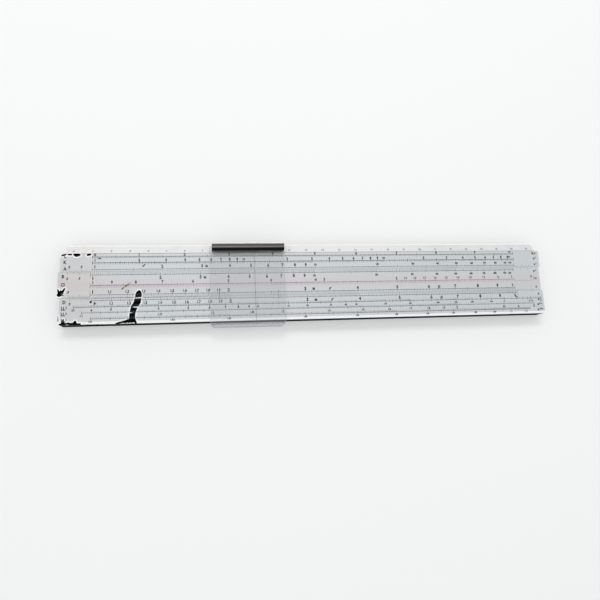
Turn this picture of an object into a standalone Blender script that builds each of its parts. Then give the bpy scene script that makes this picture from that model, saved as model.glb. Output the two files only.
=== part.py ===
"""A closed-back slide rule: a stock with one bevelled edge, a slide and a cursor.

Metres, +Z up. +X runs along the rule to its right end and +Y across it to the bevelled edge.
The origin is at the middle of the rule's box, on the surface that the rule lies on.
Each bar is a dark core with thin white facings, which are bonded on and carry the scales.
"""

import math

import bmesh
import bpy

# Sizes of the whole rule, seen from above
SCALE_LENGTH = 0.2500
END_MARGIN = 0.0174
RULE_THICKNESS = 0.0090
LOWER_FACE_WIDTH = 0.0146
SLIDE_PITCH = 0.0145
UPPER_FACE_WIDTH = 0.0104
BEVEL_WIDTH = 0.0053
BEVEL_DROP = 0.0025
BEVEL_INSET = 0.0027
BEVEL_LEFT_RADIUS = 0.0024
BEVEL_RIGHT_RADIUS = 0.0036
END_CORNER_RADIUS = 0.0010

# Gaps between pieces that are bonded, that are seated, and that slide on each other
BOND_GAP = 0.00015
SEAT_GAP = 0.00025
RUNNING_GAP = 0.00030
SLIDE_SIDE_GAP = 0.00020

# White facings
FACING_THICKNESS = 0.0008
SLIDE_BACK_THICKNESS = 0.0006
WELL_THICKNESS = 0.0005
FACING_EDGE_RADIUS = 0.00015

# Tongues of the slide, which run in grooves of the two rails
TONGUE_REACH = 0.0010
TONGUE_HEIGHT = 0.0011
TONGUE_DEPTH = 0.0041
TONGUE_SETBACK = 0.0005

# Grooves for the cursor along the outer edges of the rails
CURSOR_GROOVE_DEPTH = 0.0020
CURSOR_GROOVE_HEIGHT = 0.0026
CURSOR_GROOVE_LOW = 0.0020
RAIL_FOOT_RADIUS = 0.0005

# Metal back plate, let into the rails, with a window at each end
PLATE_THICKNESS = 0.0010
PLATE_RECESS = 0.0002
PLATE_LAP = 0.0056
PLATE_END_INSET = 0.0020
PLATE_CORNER_RADIUS = 0.0015
WINDOW_LENGTH = 0.0130
WINDOW_WIDTH = 0.0100
WINDOW_CORNER_RADIUS = 0.0012

# Screws of the back plate
SCREWS_IN_A_ROW = 6
SCREW_END_INSET = 0.0349
SCREW_LENGTH = 0.0048
SCREW_HEAD_RADIUS = 0.0016
SCREW_SHANK_RADIUS = 0.0008
SCREW_HEAD_DEPTH = 0.0008
SCREW_SLOT_WIDTH = 0.0004
SCREW_SLOT_DEPTH = 0.0003
SCREW_SIDES = 14

# Cursor
CURSOR_X = -0.0399
PANE_LENGTH = 0.0428
PANE_THICKNESS = 0.0015
PANE_LIFT = 0.0005
PANE_CORNER_RADIUS = 0.0030
PANE_EDGE_CHAMFER = 0.00025
LOWER_OVERHANG = 0.0031
LOWER_WALL = 0.0017
UPPER_OVERHANG = 0.0009
HOOK_THICKNESS = 0.0008
HOOK_REACH = 0.0012
RUNNER_LENGTH = 0.0414
RUNNER_SHIFT = 0.0008
RUNNER_CAP = 0.0011
RUNNER_BACK_RADIUS = 0.0021
RUNNER_FRONT_RADIUS = 0.0007
RUNNER_END_RADIUS = 0.0014
RUNNER_FOOT_RADIUS = 0.0003
SLOT_DEPTH = 0.0025
LIP_SETBACK = 0.0010

# Leaf spring of the cursor, bowed between the runner's wall and the floor of the groove
SPRING_LENGTH = 0.0340
SPRING_THICKNESS = 0.0003
SPRING_STEPS = 24

# How far the slide stands from home in the photograph
SLIDE_REST_X = -0.00095

# Modelling values
ARC_STEPS = 6
EDGE_STEPS = 2
CUT_OVERRUN = 0.0010

# Heights, from the table up
FACE_Z = RULE_THICKNESS
CORE_TOP_Z = FACE_Z - FACING_THICKNESS - BOND_GAP
PLATE_TOP_Z = PLATE_RECESS + PLATE_THICKNESS
REBATE_Z = PLATE_TOP_Z + SEAT_GAP
WELL_TOP_Z = PLATE_TOP_Z + BOND_GAP + WELL_THICKNESS
SLIDE_BOTTOM_Z = WELL_TOP_Z + RUNNING_GAP
SLIDE_CORE_BOTTOM_Z = SLIDE_BOTTOM_Z + SLIDE_BACK_THICKNESS + BOND_GAP
TONGUE_Z = FACE_Z - TONGUE_DEPTH
CURSOR_GROOVE_TOP_Z = CURSOR_GROOVE_LOW + CURSOR_GROOVE_HEIGHT
HOOK_LOW_Z = CURSOR_GROOVE_LOW + RUNNING_GAP
HOOK_TOP_Z = HOOK_LOW_Z + HOOK_THICKNESS
PANE_LOW_Z = FACE_Z + PANE_LIFT
PANE_TOP_Z = PANE_LOW_Z + PANE_THICKNESS

# Places across the rule, with the middle of its box at zero
STOCK_WIDTH = LOWER_FACE_WIDTH + SLIDE_PITCH + UPPER_FACE_WIDTH + BEVEL_WIDTH
BOX_WIDTH = LOWER_OVERHANG + STOCK_WIDTH + UPPER_OVERHANG
LOWER_EDGE_Y = LOWER_OVERHANG - BOX_WIDTH / 2
LOWER_GAP_Y = LOWER_EDGE_Y + LOWER_FACE_WIDTH
UPPER_GAP_Y = LOWER_GAP_Y + SLIDE_PITCH
BEVEL_Y = UPPER_GAP_Y + UPPER_FACE_WIDTH
UPPER_EDGE_Y = BEVEL_Y + BEVEL_WIDTH
SLIDE_Y = (LOWER_GAP_Y + UPPER_GAP_Y) / 2
LOWER_INNER_Y = LOWER_GAP_Y - SLIDE_SIDE_GAP / 2
UPPER_INNER_Y = UPPER_GAP_Y + SLIDE_SIDE_GAP / 2
SLIDE_HALF_WIDTH = (SLIDE_PITCH - SLIDE_SIDE_GAP) / 2

# Places along the rule
HALF_LENGTH = SCALE_LENGTH / 2 + END_MARGIN
SCREW_ROW_HALF = HALF_LENGTH - SCREW_END_INSET
BEVEL_HALF_LENGTH = HALF_LENGTH - BEVEL_INSET
INDEX_X = SCALE_LENGTH / 2


def make_material(name, colour, roughness, metallic=0.0, transmission=0.0):
    """A Principled material of one colour."""
    material = bpy.data.materials.new(name)
    material.use_nodes = True
    shader = material.node_tree.nodes["Principled BSDF"]
    shader.inputs["Base Color"].default_value = (*colour, 1.0)
    shader.inputs["Roughness"].default_value = roughness
    shader.inputs["Metallic"].default_value = metallic
    shader.inputs["Transmission Weight"].default_value = transmission
    return material


def rounded(corners):
    """Points round an outline. Each corner is (a, b, radius), and a corner of no radius stays sharp."""
    points = []
    for index, (a, b, radius) in enumerate(corners):
        if radius <= 0:
            points.append((a, b))
            continue
        before = corners[index - 1]
        after = corners[(index + 1) % len(corners)]
        to_before = math.atan2(before[1] - b, before[0] - a)
        to_after = math.atan2(after[1] - b, after[0] - a)
        turn = (to_after - to_before + math.pi) % (2 * math.pi) - math.pi
        middle = to_before + turn / 2
        reach = radius / math.sin(abs(turn) / 2)
        centre_a = a + reach * math.cos(middle)
        centre_b = b + reach * math.sin(middle)
        sweep = math.copysign(math.pi - abs(turn), turn)
        for step in range(ARC_STEPS + 1):
            angle = middle + math.pi - sweep * (step / ARC_STEPS - 0.5)
            points.append((centre_a + radius * math.cos(angle), centre_b + radius * math.sin(angle)))
    return points


def box_outline(a_low, a_high, b_low, b_high, radius=0.0):
    """Corners of a rectangle, all with one radius."""
    return [(a_low, b_low, radius), (a_high, b_low, radius), (a_high, b_high, radius), (a_low, b_high, radius)]


def fill_and_extrude(points, travel):
    """A bmesh with one face through the points, extruded by a vector."""
    mesh = bmesh.new()
    face = mesh.faces.new([mesh.verts.new(point) for point in points])
    grown = bmesh.ops.extrude_face_region(mesh, geom=[face])
    moved = [item for item in grown["geom"] if isinstance(item, bmesh.types.BMVert)]
    bmesh.ops.translate(mesh, vec=travel, verts=moved)
    bmesh.ops.recalc_face_normals(mesh, faces=mesh.faces)
    return mesh


def plate(outline, z_low, z_high):
    """A bmesh of an outline in X and Y, between two heights."""
    points = [(x, y, z_low) for x, y in rounded(outline)]
    return fill_and_extrude(points, (0, 0, z_high - z_low))


def bar(profile, x_low, x_high):
    """A bmesh of a profile in Y and Z, between two places along the rule."""
    points = [(x_low, y, z) for y, z in rounded(profile)]
    return fill_and_extrude(points, (x_high - x_low, 0, 0))


def facing(outline, z_low, z_high):
    """A flat facing with its upper edges slightly rounded."""
    mesh = plate(outline, z_low, z_high)
    middle = (z_low + z_high) / 2
    upper = [edge for edge in mesh.edges if all(vertex.co.z > middle for vertex in edge.verts)]
    bmesh.ops.bevel(
        mesh, geom=upper, offset=FACING_EDGE_RADIUS, offset_type="OFFSET",
        segments=EDGE_STEPS, profile=0.5, affect="EDGES", material=-1,
    )
    return mesh


def make_object(name, mesh, material=None, parent=None):
    """An object of a bmesh, smooth but for its sharp edges."""
    data = bpy.data.meshes.new(name)
    mesh.to_mesh(data)
    mesh.free()
    thing = bpy.data.objects.new(name, data)
    bpy.context.scene.collection.objects.link(thing)
    if material:
        data.materials.append(material)
    if parent:
        thing.parent = parent
    data.shade_smooth()
    data.set_sharp_from_angle(angle=math.radians(30))
    return thing


def cut_with(things, name, mesh, operation="DIFFERENCE"):
    """Cuts objects with a bmesh, or keeps what they share with it, through live Booleans."""
    cutter = make_object(name, mesh, parent=things[0].parent)
    cutter.hide_render = True
    cutter.display_type = "WIRE"
    for thing in things:
        boolean = thing.modifiers.new(name, "BOOLEAN")
        boolean.operation = operation
        boolean.object = cutter


def body_frame(name, x, y):
    """The empty that carries the pieces that move together."""
    frame = bpy.data.objects.new(name, None)
    frame.location = (x, y, 0)
    bpy.context.scene.collection.objects.link(frame)
    return frame


def stacked(meshes):
    """Several bmeshes as one, still as separate closed bodies."""
    whole = bmesh.new()
    for part in meshes:
        data = bpy.data.meshes.new("part")
        part.to_mesh(data)
        part.free()
        whole.from_mesh(data)
        bpy.data.meshes.remove(data)
    return whole


def bevel_surface_z(y):
    """Height of the bevel's white surface, carried on as a plane past the edge."""
    return FACE_Z - BEVEL_DROP * (y - BEVEL_Y) / BEVEL_WIDTH


# Stock: two rails on a metal plate, with white facings


def rail_profile(inner, outward, width, top_corners):
    """Section of a rail. It starts at the inner face, and outward is the sign of Y towards its outer edge."""
    tongue_half = TONGUE_HEIGHT / 2 + RUNNING_GAP
    tongue_floor = TONGUE_REACH + RUNNING_GAP
    groove_floor = width - CURSOR_GROOVE_DEPTH
    rebate = PLATE_LAP + SEAT_GAP
    section = [
        (0, REBATE_Z, 0),
        (rebate, REBATE_Z, 0),
        (rebate, 0, 0),
        (width, 0, RAIL_FOOT_RADIUS),
        (width, CURSOR_GROOVE_LOW, 0),
        (groove_floor, CURSOR_GROOVE_LOW, 0),
        (groove_floor, CURSOR_GROOVE_TOP_Z, 0),
        (width, CURSOR_GROOVE_TOP_Z, 0),
        *top_corners,
        (0, CORE_TOP_Z, 0),
        (0, TONGUE_Z + tongue_half, 0),
        (tongue_floor, TONGUE_Z + tongue_half, 0),
        (tongue_floor, TONGUE_Z - tongue_half, 0),
        (0, TONGUE_Z - tongue_half, 0),
    ]
    return [(inner + outward * across, z, radius) for across, z, radius in section]


def upper_plan():
    """Outline of the upper rail: full length beside the slide, stepped in and rounded along the bevel."""
    return [
        (HALF_LENGTH, UPPER_INNER_Y, END_CORNER_RADIUS),
        (HALF_LENGTH, BEVEL_Y, END_CORNER_RADIUS),
        (BEVEL_HALF_LENGTH, BEVEL_Y, 0),
        (BEVEL_HALF_LENGTH, UPPER_EDGE_Y, BEVEL_RIGHT_RADIUS),
        (-BEVEL_HALF_LENGTH, UPPER_EDGE_Y, BEVEL_LEFT_RADIUS),
        (-BEVEL_HALF_LENGTH, BEVEL_Y, 0),
        (-HALF_LENGTH, BEVEL_Y, END_CORNER_RADIUS),
        (-HALF_LENGTH, UPPER_INNER_Y, END_CORNER_RADIUS),
    ]


def screw_places(inner, outward):
    """Centres of one row of screws, halfway across the plate's lap on a rail."""
    pitch = 2 * SCREW_ROW_HALF / (SCREWS_IN_A_ROW - 1)
    y = inner + outward * PLATE_LAP / 2
    return [(index * pitch - SCREW_ROW_HALF, y) for index in range(SCREWS_IN_A_ROW)]


def turned(section, places):
    """Turns a section of (radius, z) points round each of several upright axes."""
    mesh = bmesh.new()
    for x, y in places:
        ring = [mesh.verts.new((x + radius, y, z)) for radius, z in section]
        edges = [mesh.edges.new(pair) for pair in zip(ring, ring[1:])]
        bmesh.ops.spin(
            mesh, geom=ring + edges, cent=(x, y, 0), axis=(0, 0, 1),
            angle=2 * math.pi, steps=SCREW_SIDES, use_merge=True,
        )
    bmesh.ops.remove_doubles(mesh, verts=mesh.verts, dist=BOND_GAP / SCREW_SIDES)
    bmesh.ops.recalc_face_normals(mesh, faces=mesh.faces)
    return mesh


def screw_holes(places):
    """Round holes for the screws' shanks, up into the rails."""
    radius = SCREW_SHANK_RADIUS + SEAT_GAP
    top = PLATE_RECESS + SCREW_LENGTH + SEAT_GAP
    return turned([(0, 0), (radius, 0), (radius, top), (0, top)], places)


def make_rails(parent, core):
    """The two rails, milled from bars of the dark core."""
    upper_width = UPPER_EDGE_Y - UPPER_INNER_Y
    bevel_start = BEVEL_Y - UPPER_INNER_Y
    upper_top = [(upper_width, CORE_TOP_Z - BEVEL_DROP, 0), (bevel_start, CORE_TOP_Z, 0)]
    lower_width = LOWER_INNER_Y - LOWER_EDGE_Y
    lower_top = [(lower_width, CORE_TOP_Z, 0)]
    lower_plan = box_outline(-HALF_LENGTH, HALF_LENGTH, LOWER_EDGE_Y, LOWER_INNER_Y, END_CORNER_RADIUS)
    rails = (
        ("upper_rail", UPPER_INNER_Y, 1, upper_width, upper_top, upper_plan()),
        ("lower_rail", LOWER_INNER_Y, -1, lower_width, lower_top, lower_plan),
    )
    reach = HALF_LENGTH + CUT_OVERRUN
    for name, inner, outward, width, top_corners, plan in rails:
        profile = rail_profile(inner, outward, width, top_corners)
        rail = make_object(name, bar(profile, -reach, reach), core, parent)
        ends = plate(plan, -CUT_OVERRUN, FACE_Z + CUT_OVERRUN)
        cut_with([rail], name + "_ends", ends, "INTERSECT")
        cut_with([rail], name + "_holes", screw_holes(screw_places(inner, outward)))


def make_stock_facings(parent, white):
    """The white facings of the stock's upper face, bevel and lower face."""
    low = FACE_Z - FACING_THICKNESS
    upper = box_outline(-HALF_LENGTH, HALF_LENGTH, UPPER_INNER_Y, BEVEL_Y - BOND_GAP / 2, END_CORNER_RADIUS)
    make_object("upper_facing", facing(upper, low, FACE_Z), white, parent)
    lower = box_outline(-HALF_LENGTH, HALF_LENGTH, LOWER_EDGE_Y, LOWER_INNER_Y, END_CORNER_RADIUS)
    make_object("lower_facing", facing(lower, low, FACE_Z), white, parent)

    start = BEVEL_Y + BOND_GAP / 2
    strip = [
        (start, bevel_surface_z(start), 0),
        (start, bevel_surface_z(start) - FACING_THICKNESS, 0),
        (UPPER_EDGE_Y, bevel_surface_z(UPPER_EDGE_Y) - FACING_THICKNESS, 0),
        (UPPER_EDGE_Y, bevel_surface_z(UPPER_EDGE_Y), FACING_EDGE_RADIUS),
    ]
    bevel = make_object("bevel_facing", bar(strip, -HALF_LENGTH, HALF_LENGTH), white, parent)
    ends = [
        (-BEVEL_HALF_LENGTH, BEVEL_Y - CUT_OVERRUN, 0),
        (BEVEL_HALF_LENGTH, BEVEL_Y - CUT_OVERRUN, 0),
        (BEVEL_HALF_LENGTH, UPPER_EDGE_Y, BEVEL_RIGHT_RADIUS),
        (-BEVEL_HALF_LENGTH, UPPER_EDGE_Y, BEVEL_LEFT_RADIUS),
    ]
    cut_with([bevel], "bevel_facing_ends", plate(ends, 0, FACE_Z + CUT_OVERRUN), "INTERSECT")


def window_outline(side, shrink=0.0):
    """A window at one end of the back, centred under the index of the scales."""
    half_length = WINDOW_LENGTH / 2 - shrink
    half_width = WINDOW_WIDTH / 2 - shrink
    centre = side * INDEX_X
    return box_outline(
        centre - half_length, centre + half_length,
        SLIDE_Y - half_width, SLIDE_Y + half_width, WINDOW_CORNER_RADIUS - shrink,
    )


def make_back(parent, metal, white, clear, steel):
    """Back plate, its screws, the white floor of the well, and the two windows."""
    rows = screw_places(UPPER_INNER_Y, 1) + screw_places(LOWER_INNER_Y, -1)
    plate_half = HALF_LENGTH - PLATE_END_INSET
    plate_outline = box_outline(
        -plate_half, plate_half, LOWER_INNER_Y - PLATE_LAP, UPPER_INNER_Y + PLATE_LAP, PLATE_CORNER_RADIUS
    )
    back = make_object("back_plate", plate(plate_outline, PLATE_RECESS, PLATE_TOP_Z), metal, parent)
    floor = box_outline(
        -plate_half, plate_half, LOWER_INNER_Y + SEAT_GAP, UPPER_INNER_Y - SEAT_GAP, END_CORNER_RADIUS
    )
    well = make_object("well_facing", plate(floor, PLATE_TOP_Z + BOND_GAP, WELL_TOP_Z), white, parent)
    for side, end in ((-1, "left"), (1, "right")):
        opening = plate(window_outline(side), -CUT_OVERRUN, WELL_TOP_Z + CUT_OVERRUN)
        cut_with([back, well], f"{end}_opening", opening)
        pane = plate(window_outline(side, SEAT_GAP), PLATE_RECESS, PLATE_TOP_Z)
        make_object(f"{end}_index_window", pane, clear, parent)

    countersink_top = PLATE_RECESS + SCREW_HEAD_DEPTH + SEAT_GAP
    countersink = [
        (0, -CUT_OVERRUN),
        (SCREW_HEAD_RADIUS + SEAT_GAP, -CUT_OVERRUN),
        (SCREW_HEAD_RADIUS + SEAT_GAP, PLATE_RECESS),
        (SCREW_SHANK_RADIUS + SEAT_GAP, countersink_top),
        (SCREW_SHANK_RADIUS + SEAT_GAP, PLATE_TOP_Z + CUT_OVERRUN),
        (0, PLATE_TOP_Z + CUT_OVERRUN),
    ]
    cut_with([back], "countersinks", turned(countersink, rows))

    head_face = PLATE_RECESS + SEAT_GAP / 2
    screw = [
        (0, head_face),
        (SCREW_HEAD_RADIUS, head_face),
        (SCREW_SHANK_RADIUS, head_face + SCREW_HEAD_DEPTH),
        (SCREW_SHANK_RADIUS, PLATE_RECESS + SCREW_LENGTH - SCREW_SHANK_RADIUS),
        (0, PLATE_RECESS + SCREW_LENGTH),
    ]
    screws = [
        make_object(f"back_plate_screw_{number:02d}", turned(screw, [place]), steel, parent)
        for number, place in enumerate(rows, 1)
    ]
    slot_half = SCREW_SLOT_WIDTH / 2
    slot_reach = SCREW_HEAD_RADIUS + CUT_OVERRUN
    slots = [
        plate(
            box_outline(x - slot_half, x + slot_half, y - slot_reach, y + slot_reach),
            -CUT_OVERRUN, head_face + SCREW_SLOT_DEPTH,
        )
        for x, y in rows
    ]
    cut_with(screws, "screw_slots", stacked(slots))


# Slide: a core with a tongue along each side, faced white on both sides


def make_slide(parent, core, white):
    """The slide, about its own middle line."""
    half = SLIDE_HALF_WIDTH
    tip = half + TONGUE_REACH
    tongue_low = TONGUE_Z - TONGUE_HEIGHT / 2
    tongue_top = TONGUE_Z + TONGUE_HEIGHT / 2
    right = [
        (half, SLIDE_CORE_BOTTOM_Z, 0),
        (half, tongue_low, 0),
        (tip, tongue_low, 0),
        (tip, tongue_top, 0),
        (half, tongue_top, 0),
        (half, CORE_TOP_Z, 0),
    ]
    profile = right + [(-y, z, radius) for y, z, radius in reversed(right)]
    reach = HALF_LENGTH + CUT_OVERRUN
    middle = make_object("slide_core", bar(profile, -reach, reach), core, parent)

    tongue_end = HALF_LENGTH - END_CORNER_RADIUS - TONGUE_SETBACK
    corner = [
        (HALF_LENGTH, half, END_CORNER_RADIUS),
        (tongue_end, half, 0),
        (tongue_end, tip + CUT_OVERRUN, 0),
    ]
    upper = corner + [(-x, y, radius) for x, y, radius in reversed(corner)]
    ends = upper + [(-x, -y, radius) for x, y, radius in upper]
    cut_with([middle], "slide_ends", plate(ends, 0, FACE_Z + CUT_OVERRUN), "INTERSECT")

    face = box_outline(-HALF_LENGTH, HALF_LENGTH, -half, half, END_CORNER_RADIUS)
    make_object("slide_facing", facing(face, FACE_Z - FACING_THICKNESS, FACE_Z), white, parent)
    back_top = SLIDE_BOTTOM_Z + SLIDE_BACK_THICKNESS
    make_object("slide_back_facing", plate(face, SLIDE_BOTTOM_Z, back_top), white, parent)


# Cursor: a clear pane between a dark sprung runner and a clear runner


def hooked_runner(name, profile, plan, material, parent):
    """A runner of one section, with its ends and corners cut to an outline seen from above."""
    left = min(corner[0] for corner in plan) - CUT_OVERRUN
    right = max(corner[0] for corner in plan) + CUT_OVERRUN
    runner = make_object(name, bar(profile, left, right), material, parent)
    ends = plate(plan, 0, PANE_TOP_Z + RUNNER_CAP + CUT_OVERRUN)
    cut_with([runner], name + "_ends", ends, "INTERSECT")


def make_cursor(parent, clear, dark, steel):
    """The cursor, about the middle of its pane."""
    half = PANE_LENGTH / 2
    outer_low = LOWER_EDGE_Y - LOWER_OVERHANG
    front = BEVEL_Y
    pane_edge = front + SLOT_DEPTH
    pane_outline = [
        (-half, outer_low, PANE_CORNER_RADIUS),
        (half, outer_low, PANE_CORNER_RADIUS),
        (half, pane_edge, PANE_EDGE_CHAMFER),
        (-half, pane_edge, PANE_EDGE_CHAMFER),
    ]
    pane = make_object("cursor_pane", plate(pane_outline, PANE_LOW_Z, PANE_TOP_Z), clear, parent)
    chamfer = pane.modifiers.new("edge_chamfer", "BEVEL")
    chamfer.width = PANE_EDGE_CHAMFER
    chamfer.segments = 1
    chamfer.limit_method = "ANGLE"
    chamfer.angle_limit = math.radians(60)

    # Clear lower runner, under the pane's edge and hooked into the lower rail
    wall_face = outer_low + LOWER_WALL
    hook_tip = LOWER_EDGE_Y + HOOK_REACH
    lower_profile = [
        (outer_low, HOOK_LOW_Z, RUNNER_FOOT_RADIUS),
        (hook_tip, HOOK_LOW_Z, 0),
        (hook_tip, HOOK_TOP_Z, 0),
        (wall_face, HOOK_TOP_Z, 0),
        (wall_face, PANE_LOW_Z - BOND_GAP, 0),
        (outer_low, PANE_LOW_Z - BOND_GAP, 0),
    ]
    lower_plan = [
        (-half, outer_low, PANE_CORNER_RADIUS),
        (half, outer_low, PANE_CORNER_RADIUS),
        (half, hook_tip + CUT_OVERRUN, 0),
        (-half, hook_tip + CUT_OVERRUN, 0),
    ]
    hooked_runner("lower_runner", lower_profile, lower_plan, clear, parent)

    # Dark upper runner: a slot for the pane, an underside that follows the bevel, a wall and a hook
    wall_outer = UPPER_EDGE_Y + UPPER_OVERHANG
    wall_inner = UPPER_EDGE_Y + RUNNING_GAP
    slot_low = PANE_LOW_Z - BOND_GAP
    slot_top = PANE_TOP_Z + BOND_GAP
    slot_end = pane_edge + SEAT_GAP
    crown = slot_top + RUNNER_CAP
    lip = front + LIP_SETBACK
    tip = UPPER_EDGE_Y - HOOK_REACH
    upper_profile = [
        (front, slot_top, 0),
        (slot_end, slot_top, 0),
        (slot_end, slot_low, 0),
        (lip, slot_low, 0),
        (lip, bevel_surface_z(lip) + RUNNING_GAP, 0),
        (wall_inner, bevel_surface_z(wall_inner) + RUNNING_GAP, 0),
        (wall_inner, HOOK_TOP_Z, 0),
        (tip, HOOK_TOP_Z, 0),
        (tip, HOOK_LOW_Z, 0),
        (wall_outer, HOOK_LOW_Z, RUNNER_FOOT_RADIUS),
        (wall_outer, crown, RUNNER_BACK_RADIUS),
        (front, crown, RUNNER_FRONT_RADIUS),
    ]
    left = RUNNER_SHIFT - RUNNER_LENGTH / 2
    right = RUNNER_SHIFT + RUNNER_LENGTH / 2
    outline = box_outline(left, right, front, wall_outer, RUNNER_END_RADIUS)
    hooked_runner("upper_runner", upper_profile, outline, dark, parent)

    # Leaf spring: its ends lie along the runner's wall and its middle along the floor of the groove
    rest = wall_inner - BOND_GAP
    bow = rest - SPRING_THICKNESS - (UPPER_EDGE_Y - CURSOR_GROOVE_DEPTH + SEAT_GAP)
    near = []
    for step in range(SPRING_STEPS + 1):
        share = step / SPRING_STEPS
        x = RUNNER_SHIFT + SPRING_LENGTH * (share - 0.5)
        near.append((x, rest - bow * (1 - math.cos(2 * math.pi * share)) / 2, 0))
    far = [(x, y - SPRING_THICKNESS, radius) for x, y, radius in reversed(near)]
    spring_low = HOOK_TOP_Z + RUNNING_GAP
    spring_top = CURSOR_GROOVE_TOP_Z - RUNNING_GAP
    make_object("cursor_spring", plate(near + far, spring_low, spring_top), steel, parent)


def main():
    """Clears the scene and builds the rule."""
    for thing in list(bpy.data.objects):
        bpy.data.objects.remove(thing)
    core = make_material("dark_core", (0.020, 0.020, 0.024), 0.45)
    white = make_material("white_facing", (0.80, 0.81, 0.82), 0.35)
    clear = make_material("clear_acrylic", (0.90, 0.92, 0.92), 0.05, transmission=0.9)
    dark = make_material("dark_runner", (0.060, 0.058, 0.055), 0.25, metallic=0.6)
    metal = make_material("plate_aluminium", (0.60, 0.61, 0.62), 0.40, metallic=1.0)
    steel = make_material("steel", (0.50, 0.50, 0.50), 0.30, metallic=1.0)

    stock = body_frame("stock_frame", 0, 0)
    make_rails(stock, core)
    make_stock_facings(stock, white)
    make_back(stock, metal, white, clear, steel)
    make_slide(body_frame("slide_frame", SLIDE_REST_X, SLIDE_Y), core, white)
    make_cursor(body_frame("cursor_frame", CURSOR_X, 0), clear, dark, steel)
    bpy.context.view_layer.update()


main()
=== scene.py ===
"""The looks of a closed-back slide rule: printed scales, aged white facings, a clear cursor, metal parts.

The file is laid out as an add-on and run as a script. Lengths are in metres unless a comment says mm.
+X runs along the rule to its right end and +Y across it to the bevelled edge.
"""

import math
from functools import cache, partial, reduce
from typing import Callable, NamedTuple

import bmesh
import bpy
from bpy.props import FloatProperty, FloatVectorProperty, PointerProperty
from mathutils import Matrix, Vector


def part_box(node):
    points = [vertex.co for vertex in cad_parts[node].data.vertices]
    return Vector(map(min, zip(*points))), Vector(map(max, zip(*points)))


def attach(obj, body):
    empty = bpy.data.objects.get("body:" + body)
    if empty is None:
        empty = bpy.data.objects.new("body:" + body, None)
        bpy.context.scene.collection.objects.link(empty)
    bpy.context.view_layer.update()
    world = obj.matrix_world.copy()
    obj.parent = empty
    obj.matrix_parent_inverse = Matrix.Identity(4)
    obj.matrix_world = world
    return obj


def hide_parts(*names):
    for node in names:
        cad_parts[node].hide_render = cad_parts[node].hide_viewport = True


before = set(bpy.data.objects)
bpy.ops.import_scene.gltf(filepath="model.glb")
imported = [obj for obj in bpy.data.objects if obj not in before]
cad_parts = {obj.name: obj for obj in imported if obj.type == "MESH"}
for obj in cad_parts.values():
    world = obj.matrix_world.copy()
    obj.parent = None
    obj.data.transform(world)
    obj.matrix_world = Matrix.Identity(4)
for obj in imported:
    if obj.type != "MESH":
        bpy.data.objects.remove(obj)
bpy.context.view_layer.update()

bl_info = {
    "name": "Slide Rule",
    "version": (1, 0, 0),
    "blender": (4, 5, 0),
    "location": "3D View > Sidebar > Slide Rule",
    "description": "Prints the scales of a slide rule and finishes its facings, cursor and metal parts",
    "category": "Object",
}

MM = 0.001

# Places that come from the solids
LOWER_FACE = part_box("lower_facing")
UPPER_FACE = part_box("upper_facing")
BEVEL_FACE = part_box("bevel_facing")
SLIDE_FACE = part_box("slide_facing")
SLIDE_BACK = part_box("slide_back_facing")
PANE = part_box("cursor_pane")
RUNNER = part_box("upper_runner")
FACE_Z = SLIDE_FACE[1].z
FACING_THICKNESS = SLIDE_FACE[1].z - SLIDE_FACE[0].z
LOWER_JOINT_Y = (LOWER_FACE[1].y + SLIDE_FACE[0].y) / 2
UPPER_JOINT_Y = (SLIDE_FACE[1].y + UPPER_FACE[0].y) / 2
SLIDE_X = (SLIDE_FACE[0].x + SLIDE_FACE[1].x) / 2
SLIDE_Y = (SLIDE_FACE[0].y + SLIDE_FACE[1].y) / 2
BEVEL_OUTER_Z = BEVEL_FACE[0].z + FACING_THICKNESS
BEVEL_SLOPE = math.atan2(BEVEL_FACE[1].z - BEVEL_OUTER_Z, BEVEL_FACE[1].y - BEVEL_FACE[0].y)
BEVEL_REACH = (BEVEL_FACE[1].y - BEVEL_FACE[0].y) / math.cos(BEVEL_SLOPE)

# Surfaces that are printed: X runs along them, Y across them and Z out of them
STOCK_FRONT = Matrix.Translation((0, 0, FACE_Z))
SLIDE_FRONT = Matrix.Translation((SLIDE_X, 0, FACE_Z))
SLIDE_REVERSE = Matrix.Translation((SLIDE_X, SLIDE_Y, SLIDE_BACK[0].z)) @ Matrix.Rotation(math.pi, 4, "X")
PANE_UNDERSIDE = Matrix.Translation((0, 0, PANE[0].z)) @ Matrix.Rotation(math.pi, 4, "X")
BEVEL_CORNER = Matrix.Translation((0, BEVEL_FACE[0].y, BEVEL_FACE[1].z))
BEVEL_SURFACE = BEVEL_CORNER @ Matrix.Rotation(-BEVEL_SLOPE, 4, "X")

# Rounding of the edges, in mm, and the turns past which an edge is rounded or shaded sharp, in degrees
RAIL_ROUNDING = 0.12
PLATE_ROUNDING = 0.1
CORE_ROUNDING = 0.1
SCREW_ROUNDING = 0.05
PANE_ROUNDING = 0.08
CLEAR_RUNNER_ROUNDING = 0.15
DARK_RUNNER_ROUNDING = 0.18
SPRING_ROUNDING = 0.05
ROUNDED_TURN = 40
SHARP_TURN = 50

# How much wider than its solid the slide's facing is drawn on each side, and how near to a side the corners
# lie that move with it, in mm
SLIDE_OVERLAP = 0.15
SIDE_REACH = 0.3

# The cursor's hairlines, in mm: the ends of the main one from the pane's edge and from the dark runner's,
# the short ones' distances from it and their half length
HAIRLINE_FOOT = 0.4
HAIRLINE_HEAD = 1.5
LEFT_HAIRLINE = -20.3
RIGHT_HAIRLINE = 13.2
SHORT_HAIRLINE_HALF = 2.6

# Distance of a window's index line from the window's edges, in mm
WINDOW_MARGIN = 0.3

# Middle across the rule of the band where red ink has rubbed into the slide's facing, in mm
BLUSH_Y = SLIDE_Y / MM - 0.4

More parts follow.
